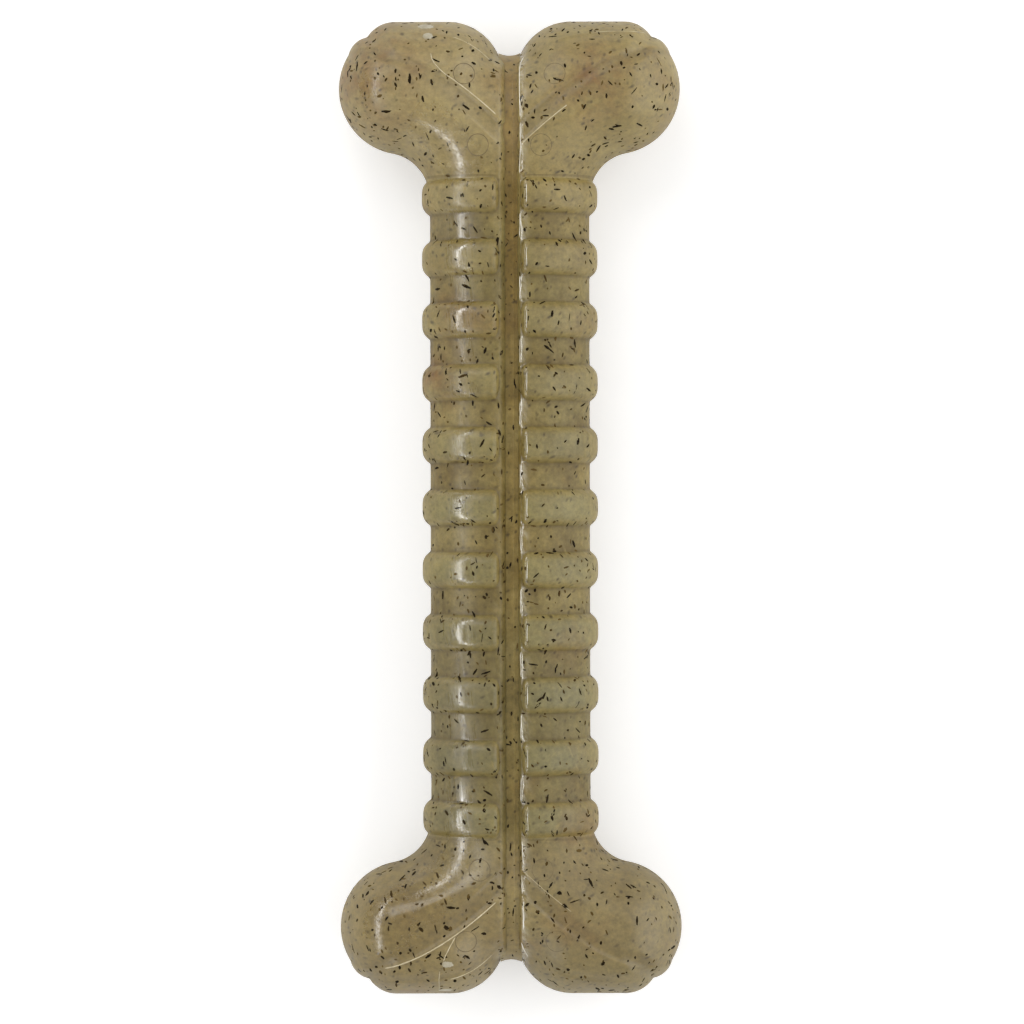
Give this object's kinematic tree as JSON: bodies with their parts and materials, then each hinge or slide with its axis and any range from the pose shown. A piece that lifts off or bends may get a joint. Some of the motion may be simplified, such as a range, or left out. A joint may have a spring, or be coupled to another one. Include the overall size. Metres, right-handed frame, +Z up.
{
  "type": "chew bone",
  "caption": "Ribbed nylon dog chew shaped as a flat bone: two ribbed lobes with knuckle ends, joined along a centre groove by a web, with dark flecks set in the surface.",
  "frame": {"origin": "middle of the bone, on the surface that its knuckles rest on", "axes": "+Z up out of the front face, +Y along the bone, +X across it"},
  "size_m": [0.0624, 0.178, 0.025],
  "materials": {
    "lobe_nylon": "satin, slightly translucent",
    "web_nylon": "satin, slightly translucent",
    "fleck": "matte"
  },
  "bodies": {
    "root": {"left_lobe": "lobe_nylon", "right_lobe": "lobe_nylon", "centre_web": "web_nylon", "left_flecks": "fleck", "right_flecks": "fleck", "web_flecks": "fleck"}
  },
  "joints": []
}
